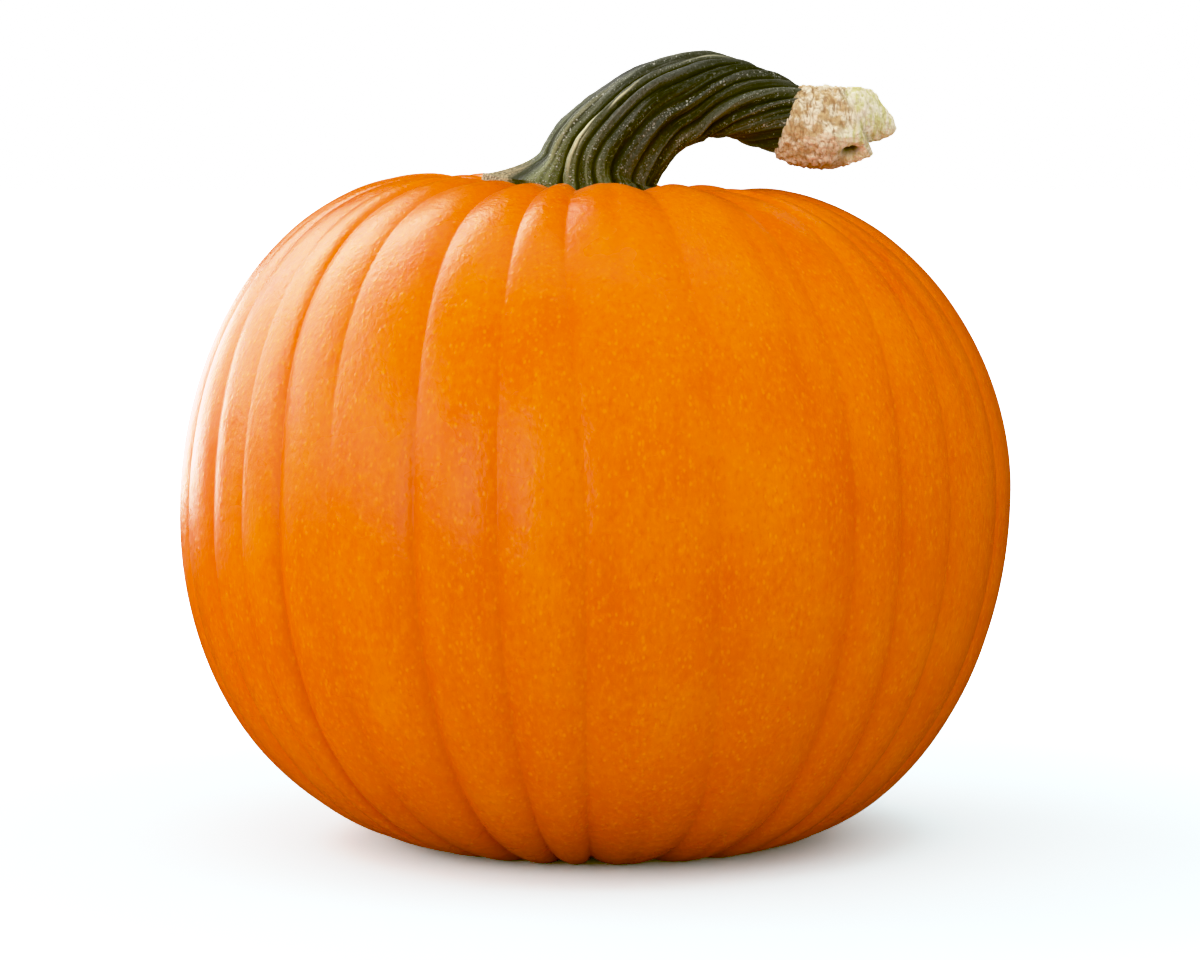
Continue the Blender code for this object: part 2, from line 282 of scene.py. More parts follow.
# Name, azimuth and height angle (degrees), width and height (metres), watts, and what it lights: "fill"
# isn't mirrored in gloss, "shine" is only mirrored in gloss, and "all" does both
LAMPS = (
    ("left_softbox", -118.0, 26.0, 2.0, 0.85, 15.5, "shine"),
    ("top_left_softbox", -118.0, 43.0, 1.1, 0.8, 6.5, "all"),
    ("top_sheen", -134.0, 52.0, 0.9, 0.6, 7.5, "shine"),
    ("top_softbox", 0.0, 88.0, 1.4, 1.4, 10.0, "fill"),
    ("left_low", -115.0, 8.0, 1.4, 0.8, 14.0, "fill"),
    ("front_left", -50.0, 8.0, 1.7, 1.1, 15.0, "fill"),
    ("front_right", 30.0, 8.0, 1.7, 1.1, 7.3, "fill"),
    ("right_high", 75.0, 50.0, 1.2, 1.0, 4.6, "fill"),
    ("back_left", -145.0, 1.0, 1.0, 0.5, 7.0, "shine"),
    ("left_sheen", -63.0, 20.0, 0.7, 0.7, 1.4, "shine"),
    ("front_strip", -24.0, 10.0, 0.3, 0.9, 1.3, "shine"),
)

# Colours, as linear red, green and blue
RIND = {
    # foot and crown are blended by height: painted shade low down and painted light up top
    "foot": (0.84, 0.128, 0.0),
    "crown": (0.86, 0.152, 0.0),
    "ruddy": (0.80, 0.108, 0.0),
    "golden": (0.88, 0.175, 0.0),
    "streak": (0.90, 0.19, 0.001),
    "pale grain": (0.96, 0.205, 0.002),
    "dark grain": (0.76, 0.095, 0.0),
    "fleck": (1.0, 0.27, 0.008),
    # painted shade for the furrows and creases
    "furrow": (0.72, 0.078, 0.0),
    "dark scar": (0.20, 0.11, 0.04),
    "pale scar": (0.45, 0.31, 0.16),
}
BARK = {
    "black": (0.011, 0.012, 0.018),
    "grey": (0.054, 0.055, 0.062),
    "cord": (0.13, 0.125, 0.12),
    "fibre": (0.19, 0.18, 0.165),
    "dark olive": (0.045, 0.055, 0.004),
    "pale olive": (0.21, 0.225, 0.065),
    # pale ridges: partly the bark's own colour, partly a painted highlight
    "ridge": (0.21, 0.215, 0.115),
    "dust": (0.24, 0.23, 0.18),
    "pit": (0.010, 0.009, 0.008),
    # painted shade between the cords
    "gap_shade": (0.008, 0.006, 0.010),
    # painted shade in the grooves
    "groove": (0.006, 0.005, 0.008),
    "cream": (0.68, 0.63, 0.40),
    "speck": (0.62, 0.60, 0.50),
    "dark cork": (0.12, 0.08, 0.03),
    "pale cork": (0.50, 0.385, 0.23),
}
TORN = {
    "tan": (0.60, 0.40, 0.22),
    "buff": (0.88, 0.76, 0.58),
    "rust": (0.34, 0.17, 0.08),
    # painted shade for the collar's underside
    "underside_shade": (0.42, 0.20, 0.09),
    "green pulp": (0.66, 0.61, 0.29),
    "cream pulp": (0.90, 0.82, 0.63),
    "pink pulp": (0.88, 0.77, 0.64),
    "pore": (0.45, 0.33, 0.13),
    # painted shade in the creases
    "crease": (0.33, 0.17, 0.07),
    # painted shade in the notch
    "notch": (0.05, 0.03, 0.015),
}

# How fine the meshes are: columns round each rib or piece, and rings from pole to pole
RIB_COLUMNS = 21
FRUIT_RINGS = 152
STALK_COLUMNS = 270
STALK_RINGS = 300
FOOT_RINGS = 24     # those of the stalk's rings that close it underneath
TORN_COLUMNS = 240
TORN_RINGS = 200


def ease(share):
    """A smooth step from 0 to 1."""
    share = np.clip(share, 0.0, 1.0)
    return share * share * (3.0 - 2.0 * share)


def climb_between(value, limits):
    """A smooth step from 0 at the first limit to 1 at the second."""
    return ease((value - limits[0]) / (limits[1] - limits[0]))


def smooth_skin(azimuth, share):
    """Radius and height of the fruit without its ribs."""
    side = np.sin(azimuth)
    crest = CREST_HEIGHT + CREST_LEAN * side
    waist = WAIST_HEIGHT + WAIST_LEAN * side
    foot_radius = FOOT_RADIUS + FOOT_LEAN * side
    above = FULLNESS_ABOVE + SHOULDER_LEAN * side
    below = FULLNESS_BELOW + HIP_LEAN * side

    hollow = share / FOOT_SHARE
    lower = np.clip((share - FOOT_SHARE) / (WAIST_SHARE - FOOT_SHARE), 0.0, 1.0) * math.pi / 2
    upper = np.clip((share - WAIST_SHARE) / (CREST_SHARE - WAIST_SHARE), 0.0, 1.0) * math.pi / 2
    crown = (1.0 - share) / (1.0 - CREST_SHARE)

    places = [share < FOOT_SHARE, share < WAIST_SHARE, share < CREST_SHARE]
    radius = np.select(places, [
        foot_radius * hollow,
        foot_radius + (HALF_WIDTH - foot_radius) * np.sin(lower) ** (2 / below),
        CREST_RADIUS + (HALF_WIDTH - CREST_RADIUS) * np.cos(upper) ** (2 / above),
    ], CREST_RADIUS * crown)
    height = np.select(places, [
        SCAR_HEIGHT * (1.0 - ease(hollow)),
        waist * (1.0 - np.cos(lower) ** (2 / below)),
        waist + (crest - waist) * np.sin(upper) ** (2 / above),
    ], SEAT_HEIGHT + (crest - SEAT_HEIGHT) * ease(crown))
    return radius, height


def rib_place(turn, share):
    """Azimuth, furrow depth, rise and place across its rib (0 to 1) of a point; turn counts ribs."""
    table = np.array(FURROWS)
    count = len(table)
    rib = np.floor(turn + 1e-6).astype(int)
    across = np.clip(turn - rib, 0.0, 1.0)
    here, after = table[rib % count], table[(rib + 1) % count]
    lap = 360.0 * ((rib + 1) % count == 0)

    above = share - WAIST_SHARE
    upward = ease(above / CROWN_SWING)
    downward = ease(-above / FOOT_SWING)
    left = here[:, 0] + here[:, 1] * upward + here[:, 2] * downward
    right = after[:, 0] + lap + after[:, 1] * upward + after[:, 2] * downward
    azimuth = np.radians(left + (right - left) * across)

    from_waist = np.clip((above / FULL_DEPTH) ** 2, 0.0, 1.0)
    depth_left = here[:, 3] * (here[:, 4] + (1.0 - here[:, 4]) * from_waist)
    depth_right = after[:, 3] * (after[:, 4] + (1.0 - after[:, 4]) * from_waist)
    depth = (depth_left + (depth_right - depth_left) * ease(across)) * MM
    rise = here[:, 5] * MM * climb_between(above, RISE)
    return azimuth, depth, rise, across


def crease_depth(azimuth, share):
    """How far the partial creases dent the skin."""
    degrees = np.degrees(azimuth)
    depth = np.zeros_like(share)
    for middle, low, high, deep, width in CREASES:
        away = (degrees - middle + 180.0) % 360.0 - 180.0
        span = (share - low) / (high - low)
        along = ease(span / CREASE_FADE) * ease((1.0 - span) / CREASE_FADE)
        depth += deep * MM * along * np.exp(-(away / width) ** 2)
    return depth


def uneven(points, size, stretch, seed):
    """Smooth noise from -1 to 1 at each point; stretch draws it out along Z."""
    shift = Vector((seed, 2.0 * seed, 3.0 * seed))
    scale = 1.0 / size
    return np.array([noise.noise(Vector((x * scale, y * scale, z * scale / stretch)) + shift)
                     for x, y, z in points])


def skin_slope(azimuth, share):
    """The outward and upward parts of the direction that the smooth skin faces."""
    radius_low, height_low = smooth_skin(azimuth, np.clip(share - SLOPE_STEP, 0.0, 1.0))
    radius_high, height_high = smooth_skin(azimuth, np.clip(share + SLOPE_STEP, 0.0, 1.0))
    along = np.hypot(radius_high - radius_low, height_high - height_low)
    return (height_high - height_low) / along, -(radius_high - radius_low) / along


def rib_bulge(across, above):
    """The curve of a rib from one furrow (0) over its top (1) to the next, rounder towards the crown."""
    power = WAIST_ROUNDING + (RIB_ROUNDING - WAIST_ROUNDING) * climb_between(above, ROUNDING)
    soft = np.sqrt(np.sin(math.pi * across) ** 2 + FURROW_SOFTNESS ** 2) ** power
    lowest = FURROW_SOFTNESS ** power
    highest = (1.0 + FURROW_SOFTNESS ** 2) ** (power / 2)
    return (soft - lowest) / (highest - lowest)


def fruit_points(turn, share):
    """Points on the ribbed skin, and how deep in a furrow each is, from 0 to 1, for the painted furrow
    shade.
    """
    azimuth, depth, rise, across = rib_place(turn, share)
    radius, height = smooth_skin(azimuth, share)
    outward, upward = skin_slope(azimuth, share)
    above = share - WAIST_SHARE
    bulge = rib_bulge(across, above)
    dents = crease_depth(azimuth, share)
    fade = ease(radius / FURROW_END_RADIUS)
    calm = climb_between(above, CALM_START) * climb_between(above, CALM_END)
    depth = depth * (1.0 - SHOULDER_CALM * calm)
    offset = (rise * bulge - depth * (1.0 - bulge) - dents) * fade

    plain = np.stack([radius * np.sin(azimuth), -radius * np.cos(azimuth), height], axis=1)
    for size, stretch, seed, tall in SKIN_LUMPS:
        offset += uneven(plain, size * MM, stretch, seed) * tall * MM * fade
    radius = radius + offset * outward
    height = np.maximum(height + offset * upward - PAD_SINK, 0.0)
    height -= BUTTON_HEIGHT * np.exp(-(radius / BUTTON_RADIUS) ** 4) * (share < FOOT_SHARE)
    points = np.stack([radius * np.sin(azimuth), -radius * np.cos(azimuth) * DEPTH_SHARE, height], axis=1)
    # painted shade: the deeper in a furrow or crease, the darker the skin is coloured
    furrow = ((1.0 - bulge) * depth / FURROW_DEEP + dents / CREASE_DEEP) * fade
    return points, furrow


def hollow_height(x, y):
    """Height of the rib tops in the hollow of the crown, over a point on the plan."""
    depth_y = y / DEPTH_SHARE
    radius = np.hypot(x, depth_y)
    side = x / np.maximum(radius, MM)
    crest = CREST_HEIGHT + CREST_LEAN * side
    return SEAT_HEIGHT + (crest - SEAT_HEIGHT) * ease(radius / CREST_RADIUS) - PAD_SINK


def spline(knots, place):
    """Values and slopes at a place from 0 to 1 along a smooth line through the knots."""
    ends = np.vstack([2 * knots[0] - knots[1], knots, 2 * knots[-1] - knots[-2]])
    position = np.clip(place, 0.0, 1.0) * (len(knots) - 1)
    index = np.minimum(position.astype(int), len(knots) - 2)
    part = (position - index)[:, None]
    before, start, end, beyond = (ends[index + step] for step in range(4))
    square = 2 * before - 5 * start + 4 * end - beyond
    cube = 3 * start - before - 3 * end + beyond
    value = 0.5 * (2 * start + (end - before) * part + square * part ** 2 + cube * part ** 3)
    slope = 0.5 * ((end - before) + 2 * square * part + 3 * cube * part ** 2)
    return value, slope


def sweep_frame(line, place):
    """Middle, radius, and the directions to the front and to the lower side, along a swept line in mm."""
    value, slope = spline(np.array(line) * MM, place)
    direction = slope[:, :3] / np.linalg.norm(slope[:, :3], axis=1)[:, None]
    front = np.array([0.0, -1.0, 0.0]) + direction * direction[:, 1:2]
    front /= np.linalg.norm(front, axis=1)[:, None]
    return value[:, :3], np.maximum(value[:, 3], 0.0), front, np.cross(direction, front)


def stalk_ridges(turned):
    """Relief of the ridges as a share of the radius, how deep in a groove for the painted groove shade, and
    how pale a ridge is, partly as a painted highlight.
    """
    table = np.array(GROOVES)
    degrees = (np.degrees(turned) - table[0, 0]) % 360.0 + table[0, 0]
    index = np.searchsorted(table[:, 0], degrees, side="right") - 1
    after = np.vstack([table, table[:1] + [360.0, 0.0, 0.0, 0.0]])[index + 1]
    here = table[index]
    across = (degrees - here[:, 0]) / (after[:, 0] - here[:, 0])
    bulge = np.sqrt(np.sin(math.pi * across) ** 2 + GROOVE_SOFTNESS) ** GROOVE_ROUNDING
    depth = here[:, 1] + (after[:, 1] - here[:, 1]) * ease(across)
    relief = here[:, 2] * np.sin(math.pi * across) ** 2 - depth * (1.0 - bulge)
    return relief, np.clip(1.0 - bulge, 0.0, 1.0), here[:, 3] * bulge


def toe_reach(turned, cord, climb, left, height):
    """How far the foot spreads past the stalk: short toes all round, and a long one on the left."""
    edge = 1.0 + TOE_SWELL * np.cos(TOES * turned) + TOE_RAGGED * cord
    short = TOE_REACH * edge * (1.0 - climb) ** TOE_CURVE
    long = LONG_TOE_REACH * left ** 3 * ease((LONG_TOE_TOP - height) / LONG_TOE_SLOPE)
    return np.maximum(short, long * (climb < 1.0))


def stalk_points(angle, ring):
    """Points on the stalk, and values for its bark; the first rings lie underneath."""
    place = (ring - FOOT_RINGS) / (STALK_RINGS - FOOT_RINGS)
    under = np.clip(ring / FOOT_RINGS, 0.0, 1.0)
    middle, radius, front, lower_side = sweep_frame(STALK_LINE, place)
    place = np.clip(place, 0.0, 1.0)

    turned = angle + TWIST * place + END_TWIST * climb_between(place, END_TWIST_SPAN)
    grain = np.stack([np.cos(turned) * GRAIN_RADIUS, np.sin(turned) * GRAIN_RADIUS,
                      place * GRAIN_LENGTH], axis=1)
    wander = uneven(grain, 15 * MM, 3.0, 11.0) * RIDGE_WANDER
    relief, groove, pale = stalk_ridges(turned + wander)
    relief = relief + BARK_SWELL
    waves = {}
    for name, (size, stretch, seed, tall) in BARK_RELIEF.items():
        waves[name] = uneven(grain, size * MM, stretch, seed)
        relief = relief + tall * waves[name]
    spoke = np.cos(angle)[:, None] * front + np.sin(angle)[:, None] * lower_side

    base = middle[:, 2].min()
    climb = np.clip((middle[:, 2] - base) / TOE_HEIGHT, 0.0, 1.0)
    climb = np.where(place > FOOT_END, 1.0, climb)
    relief = relief * (FOOT_RELIEF + (1.0 - FOOT_RELIEF) * ease(2.0 * climb))
    left = np.clip(-spoke[:, 0], 0.0, 1.0)
    reach = toe_reach(turned, waves["cord"], climb, left, middle[:, 2])
    radius = (radius * (1.0 + relief) + reach) * under
    point = middle + spoke * radius[:, None]

    lift = hollow_height(point[:, 0], point[:, 1]) - FOOT_SINK - base
    point[:, 2] += lift * (1.0 - climb) ** 2
    values = {"groove": groove, "pale": pale, "place": place, "climb": climb, "side": spoke[:, 0],
              "cord": 0.5 + 0.5 * waves["cord"], "thread": 0.5 + 0.5 * waves["thread"],
              "grain_x": grain[:, 0], "grain_y": grain[:, 1], "grain_z": grain[:, 2]}
    return point, values


def crumpled(points, size, seed):
    """Sharp creases between soft lumps, 0 in a crease and about 0.7 between them."""
    return np.abs(uneven(points, size, 1.0, seed))


def broken(points):
    """Points cut back to the breaks across the torn end, which stay slightly rounded."""
    for place, direction in BREAKS:
        normal = np.array(direction) / np.linalg.norm(direction)
        beyond = (points - np.array(place) * MM) @ normal
        points = points - BREAK_CUT * np.maximum(beyond, 0.0)[:, None] * normal
    return points


def torn_points(angle, ring):
    """Points on the torn end, and values for its colours."""
    place = ring / TORN_RINGS
    middle, radius, front, lower_side = sweep_frame(TORN_LINE, place)
    spoke = np.cos(angle)[:, None] * front + np.sin(angle)[:, None] * lower_side
    plain = middle + spoke * radius[:, None]
    below = np.clip(-spoke[:, 2], 0.0, 1.0)
    plain[:, 0] -= COLLAR_LAP * below * (1.0 - ease(place / COLLAR_SHARE))
    plain = broken(plain)

    lumps = uneven(plain, 10 * MM, 1.0, 4.0)
    folds = crumpled(plain * np.array([1.0, 1.0, 0.4]), 3.6 * MM, 8.0)
    crumbs = crumpled(plain, 2.6 * MM, 6.0)
    strings = crumpled(plain * np.array([1.0, 0.6, 0.3]), 1.9 * MM, 3.0)
    grit = uneven(plain, 1.1 * MM, 1.0, 2.0)
    edge = uneven(plain, 7 * MM, 1.0, 13.0) * PULP_RAGGED
    pulp = ease((plain[:, 0] - PULP_START + edge) / PULP_BLEND)

    rough = 1.0 - 0.6 * pulp
    relief = LUMP_HEIGHT * lumps + (FOLD_HEIGHT * folds + CRUMB_HEIGHT * crumbs) * rough
    relief += STRING_HEIGHT * strings + GRIT_HEIGHT * grit - TORN_SINK
    outward = plain - middle
    outward /= np.maximum(np.linalg.norm(outward, axis=1), MM)[:, None]
    notch = np.exp(-(np.linalg.norm(plain - np.array(NOTCH) * MM, axis=1) / NOTCH_WIDTH) ** 2)
    offset = relief * MM * ease(radius / THIN_RADIUS) - NOTCH_DEPTH * notch
    point = plain + outward * offset[:, None]
    # painted shade: where the colour darkens in the creases between the strings and crumbs
    crease = 0.9 * np.clip(1.0 - strings / 0.13, 0.0, 1.0) + 0.5 * np.clip(1.0 - crumbs / 0.12, 0.0, 1.0)
    return point, {"pulp": pulp, "crease": np.clip(crease * rough, 0.0, 1.0), "notch": notch,
                   "below": below}


def grid_faces(columns, rings):
    """The corners of the faces: a fan round each pole, and four-sided faces between the rings."""
    here = np.arange(columns)
    after = (here + 1) % columns
    first = 1 + columns * np.arange(rings - 2)[:, None]
    corners = [first + here, first + after, first + columns + after, first + columns + here]
    sides = np.stack(corners, axis=-1).reshape(-1, 4)
    last = 1 + columns * (rings - 2)
    bottom = np.stack([0 * here, 1 + after, 1 + here], axis=-1)
    top = np.stack([0 * here + last + columns, last + here, last + after], axis=-1)
    return bottom.tolist() + sides.tolist() + top.tolist()


def sphere_grid(name, columns, rings, shape):
    """A closed grid of rings between two poles, placed by shape(turn, ring), with turn from 0 to columns."""
    turn = np.tile(np.arange(columns), rings - 1)
    ring = np.repeat(np.arange(1, rings), columns)
    turn = np.concatenate([[0], turn, [0]]).astype(float)
    ring = np.concatenate([[0], ring, [rings]]).astype(float)
    points, values = shape(turn, ring)
    mesh = bpy.data.meshes.new(name)
    mesh.from_pydata(points.tolist(), [], grid_faces(columns, rings))
    mesh.shade_smooth()
    item = bpy.data.objects.new(name, mesh)
    bpy.context.scene.collection.objects.link(item)
    for key, numbers in values.items():
        mesh.attributes.new(key, "FLOAT", "POINT").data.foreach_set("value", numbers.astype(np.float32))
    return item


def make_fruit():
    """The skin of the fruit, with its columns crowded towards the furrows."""
    columns = RIB_COLUMNS * len(FURROWS)

    def shape(turn, ring):
        step = turn / RIB_COLUMNS
        step = step - COLUMN_CROWDING * np.sin(2 * math.pi * step) / (2 * math.pi)
        points, furrow = fruit_points(step, ring / FRUIT_RINGS)
        return points, {"furrow": furrow}
    return sphere_grid("fruit_skin", columns, FRUIT_RINGS, shape)


def make_stalk():
    """The bark, from the closed underside of the foot to the end inside the torn stub."""
    return sphere_grid("stem_bark", STALK_COLUMNS, STALK_RINGS,
                       lambda turn, ring: stalk_points(turn * 2 * math.pi / STALK_COLUMNS, ring))


def make_torn_end():
    """The torn stub, which encloses the end of the stalk."""
    return sphere_grid("stem_torn_end", TORN_COLUMNS, TORN_RINGS,
                       lambda turn, ring: torn_points(turn * 2 * math.pi / TORN_COLUMNS, ring))


class Recipe:
    """A material with a Principled shader, and short calls that add nodes to it."""

    def __init__(self, name, roughness, specular):
        self.material = bpy.data.materials.new(name)
        self.material.use_nodes = True
        self.nodes = self.material.node_tree.nodes
        self.links = self.material.node_tree.links
        self.shader = self.nodes["Principled BSDF"]
        self.shader.inputs["Roughness"].default_value = roughness
        self.shader.inputs["Specular IOR Level"].default_value = specular

    def add(self, kind, inputs, output=0, **settings):
        """Add a node, fill or link its inputs, and give back one of its outputs."""
        node = self.nodes.new("ShaderNode" + kind)
        for key, value in settings.items():
            setattr(node, key, value)
        for key, value in inputs.items():
            if isinstance(value, bpy.types.NodeSocket):
                self.links.new(value, node.inputs[key])
            else:
                node.inputs[key].default_value = value
        return node.outputs[output]

    def place(self):
        """Where a point is, in the object's own coordinates."""
        return self.add("TexCoord", {}, output="Object")

    def attribute(self, name):
        """A value that the mesh's points carry."""
        return self.add("Attribute", {}, output="Fac", attribute_name=name)

    def stretched(self, vector, x, y, z):
        """A place scaled along each axis; a small factor draws a pattern out along that axis."""
        return self.add("VectorMath", {0: vector, 1: (x, y, z)}, operation="MULTIPLY")

    def noise(self, vector, size, detail=3.0, roughness=0.5):
        """Noise from 0 to 1 whose features are about size metres across."""
        return self.add("TexNoise", {"Vector": vector, "Scale": 1.0 / size, "Detail": detail,
                                     "Roughness": roughness}, output="Fac")

    def bent(self, vector, size, amount):
        """The place shifted by up to about half the amount, so that patterns don't look regular."""
        shift = self.add("TexNoise", {"Vector": vector, "Scale": 1.0 / size}, output="Color")
        scaled = self.stretched(shift, amount, amount, amount)
        return self.add("VectorMath", {0: vector, 1: scaled}, operation="ADD")

    def cells(self, vector, size):
        """Distance from the middle of the nearest cell, and that cell's random colour."""
        distance = self.add("TexVoronoi", {"Vector": vector, "Scale": 1.0 / size}, output="Distance")
        return distance, distance.node.outputs["Color"]

    def specks(self, size, rarity):
        """Round specks in those cells whose chance is above the rarity, from 0 to 1."""
        distance, chance = self.cells(self.bent(self.place(), size, size), size)
        chance = self.maths("SUBTRACT", self.add("SeparateColor", {0: chance}), rarity)
        return self.times(self.between(distance, 0.42, 0.20), self.between(chance, 0.0, 0.1))

    def maths(self, operation, first, second):
        return self.add("Math", {0: first, 1: second}, operation=operation)

    def times(self, first, second):
        return self.maths("MULTIPLY", first, second)

    def plus(self, first, second):
        return self.maths("ADD", first, second)

    def between(self, value, low, high, start=0.0, end=1.0):
        """A smooth climb from start to end as the value goes from low to high."""
        return self.add("MapRange", {"Value": value, "From Min": low, "From Max": high,
                                     "To Min": start, "To Max": end}, interpolation_type="SMOOTHSTEP")

    def mix(self, factor, first, second):
        """A blend of two colours; of a Mix node's sockets, 0 is the factor and 6 and 7 are the colours."""
        node = self.nodes.new("ShaderNodeMix")
        node.data_type = "RGBA"
        for index, value in ((0, factor), (6, first), (7, second)):
            if isinstance(value, bpy.types.NodeSocket):
                self.links.new(value, node.inputs[index])
            else:
                node.inputs[index].default_value = (*value, 1.0) if isinstance(value, tuple) else value
        return node.outputs[2]

    def finish(self, colour, height, depth, roughness=None):
        """Link the colour, a bump of the given depth in metres, and a roughness that varies."""
        bump = self.add("Bump", {"Height": height, "Distance": depth, "Strength": 1.0})
        self.links.new(colour, self.shader.inputs["Base Color"])
        self.links.new(bump, self.shader.inputs["Normal"])
        if roughness is not None:
            self.links.new(roughness, self.shader.inputs["Roughness"])
        return self.material


def rind_tone(recipe, place, height, grain):
    """The skin's orange: redder and darker at the foot and lighter at the crown as painted shade and light,
    with ruddy and golden blotches, upright streaks and grain.
    """
    # painted shade and light: darker and redder towards the foot, lighter towards the crown
    tone = recipe.mix(recipe.between(height, 0.0, CREST_HEIGHT), RIND["foot"], RIND["crown"])
    blotch = recipe.noise(recipe.stretched(place, 1.0, 1.0, 0.6), 30 * MM, 5.0, 0.6)
    tone = recipe.mix(recipe.between(blotch, 0.48, 0.68, 0.0, 0.8), tone, RIND["ruddy"])
    tone = recipe.mix(recipe.between(blotch, 0.50, 0.32, 0.0, 0.7), tone, RIND["golden"])
    streak = recipe.noise(recipe.stretched(place, 1.0, 1.0, 0.06), 2.5 * MM, 4.0, 0.6)
    tone = recipe.mix(recipe.between(streak, 0.45, 0.75, 0.0, 0.35), tone, RIND["streak"])
    tone = recipe.mix(recipe.between(grain, 0.50, 0.72, 0.0, 0.55), tone, RIND["pale grain"])
    return recipe.mix(recipe.between(grain, 0.48, 0.28, 0.0, 0.55), tone, RIND["dark grain"])


def rind_flecks(recipe, place):
    """Small pale flecks, a little longer than wide, of uneven strength."""
    crooked = recipe.bent(place, 4 * MM, 1.2 * MM)
    distance, chance = recipe.cells(recipe.stretched(crooked, 1.0, 1.0, 0.65), 1.9 * MM)
    strength = recipe.between(recipe.add("SeparateColor", {0: chance}), 0.1, 0.8)
    return recipe.times(recipe.between(distance, 0.42, 0.10), strength)


def scar_share(recipe, place, height, grain):
    """1 on the corky button of the blossom scar, with a ragged edge, and 0 elsewhere."""
    from_axis = recipe.add("VectorMath", {0: recipe.stretched(place, 1.0, 1.0, 0.0)}, output="Value",
                           operation="LENGTH")
    from_axis = recipe.plus(from_axis, recipe.times(grain, 2.0 * MM))
    near_axis = recipe.between(from_axis, 1.5 * BUTTON_RADIUS, BUTTON_RADIUS)
    return recipe.times(near_axis, recipe.between(height, 0.3 * CREST_HEIGHT, 0.2 * CREST_HEIGHT))


def rind_material():
    """Waxy orange skin with pale flecks, painted shade in the furrows, fine pores and a corky scar
    underneath.
    """
    recipe = Recipe("rind", 0.28, 0.5)
    place = recipe.place()
    height = recipe.add("SeparateXYZ", {0: place}, output="Z")
    grain = recipe.noise(recipe.stretched(place, 1.0, 1.0, 0.6), 1.7 * MM, 2.0, 0.6)
    tone = rind_tone(recipe, place, height, grain)
    fleck = rind_flecks(recipe, place)
    tone = recipe.mix(recipe.times(fleck, 0.6), tone, RIND["fleck"])
    # painted shade: darker and redder in the furrows and creases
    tone = recipe.mix(recipe.times(recipe.attribute("furrow"), 0.6), tone, RIND["furrow"])
    scar = recipe.mix(recipe.between(grain, 0.35, 0.65), RIND["dark scar"], RIND["pale scar"])
    tone = recipe.mix(scar_share(recipe, place, height, grain), tone, scar)

    crinkle = recipe.noise(recipe.stretched(place, 1.0, 1.0, 0.7), 2.2 * MM, 3.0, 0.65)
    swell = recipe.noise(place, 8 * MM, 2.0)
    relief = recipe.plus(crinkle, recipe.times(swell, 1.3))
    relief = recipe.plus(relief, recipe.times(fleck, 0.25))
    relief = recipe.plus(relief, recipe.times(grain, 0.6))
    gloss = recipe.between(recipe.noise(place, 25 * MM, 3.0), 0.3, 0.7, 0.25, 0.32)
    return recipe.finish(tone, relief, 0.20 * MM, gloss)


class Bark:
    """The patterns that the bark's colour is made from."""

    def __init__(self, recipe):
        along = {index: recipe.attribute("grain_" + axis) for index, axis in enumerate("xyz")}
        self.grain = recipe.add("CombineXYZ", along)
        self.place = recipe.attribute("place")
        self.climb = recipe.attribute("climb")
        self.groove = recipe.attribute("groove")
        self.pale = recipe.attribute("pale")
        self.side = recipe.attribute("side")
        self.fibre = recipe.noise(recipe.stretched(self.grain, 1.0, 1.0, 0.05), 1.3 * MM, 4.0, 0.6)
        self.band = recipe.noise(recipe.stretched(self.grain, 1.0, 1.0, 0.14), 6.0 * MM, 3.0)
        self.grit = recipe.noise(recipe.place(), 0.9 * MM, 3.0, 0.6)
        cord = recipe.times(recipe.attribute("cord"), 0.6)
        self.raised = recipe.plus(cord, recipe.times(recipe.attribute("thread"), 0.5))


def bark_tone(recipe, bark):
    """Black and grey bands with paler cords and fibres, olive at the foot, pale ridges that are partly
    painted highlight, and painted shade in every gap and groove.
    """
    tone = recipe.mix(recipe.between(bark.band, 0.35, 0.65), BARK["black"], BARK["grey"])
    tone = recipe.mix(recipe.between(bark.raised, 0.56, 0.80, 0.0, 0.6), tone, BARK["cord"])
    tone = recipe.mix(recipe.between(bark.fibre, 0.54, 0.72, 0.0, 0.7), tone, BARK["fibre"])
    olive = recipe.mix(recipe.between(bark.fibre, 0.42, 0.60), BARK["dark olive"], BARK["pale olive"])
    foot = recipe.plus(bark.place, recipe.times(bark.side, 0.10))
    tone = recipe.mix(recipe.between(foot, 0.30, 0.0, 0.0, 0.9), tone, olive)
    # pale ridges, partly the bark's own colour and partly a painted highlight
    ridge = recipe.times(bark.pale, recipe.between(bark.band, 0.40, 0.65, 0.05, 0.45))
    tone = recipe.mix(ridge, tone, BARK["ridge"])
    tone = recipe.mix(recipe.between(bark.grit, 0.55, 0.70, 0.0, 0.5), tone, BARK["dust"])
    tone = recipe.mix(recipe.between(bark.grit, 0.46, 0.32, 0.0, 0.6), tone, BARK["pit"])
    # painted shade: dark in the gaps between the raised cords and threads
    tone = recipe.mix(recipe.between(bark.raised, 0.50, 0.32, 0.0, 0.85), tone, BARK["gap_shade"])
    # painted shade: near-black in the grooves
    return recipe.mix(recipe.between(bark.groove, 0.2, 0.75, 0.0, 0.9), tone, BARK["groove"])


def cream_streak(recipe, bark):
    """Dashed cream streaks on the palest ridges, from above the foot to the top of the bend."""
    streak = recipe.times(recipe.between(bark.pale, 0.66, 0.86), recipe.between(bark.band, 0.49, 0.55))
    streak = recipe.times(streak, recipe.between(bark.fibre, 0.44, 0.54))
    streak = recipe.times(streak, recipe.between(bark.place, 0.12, 0.22))
    return recipe.times(streak, recipe.between(bark.place, 0.60, 0.48))


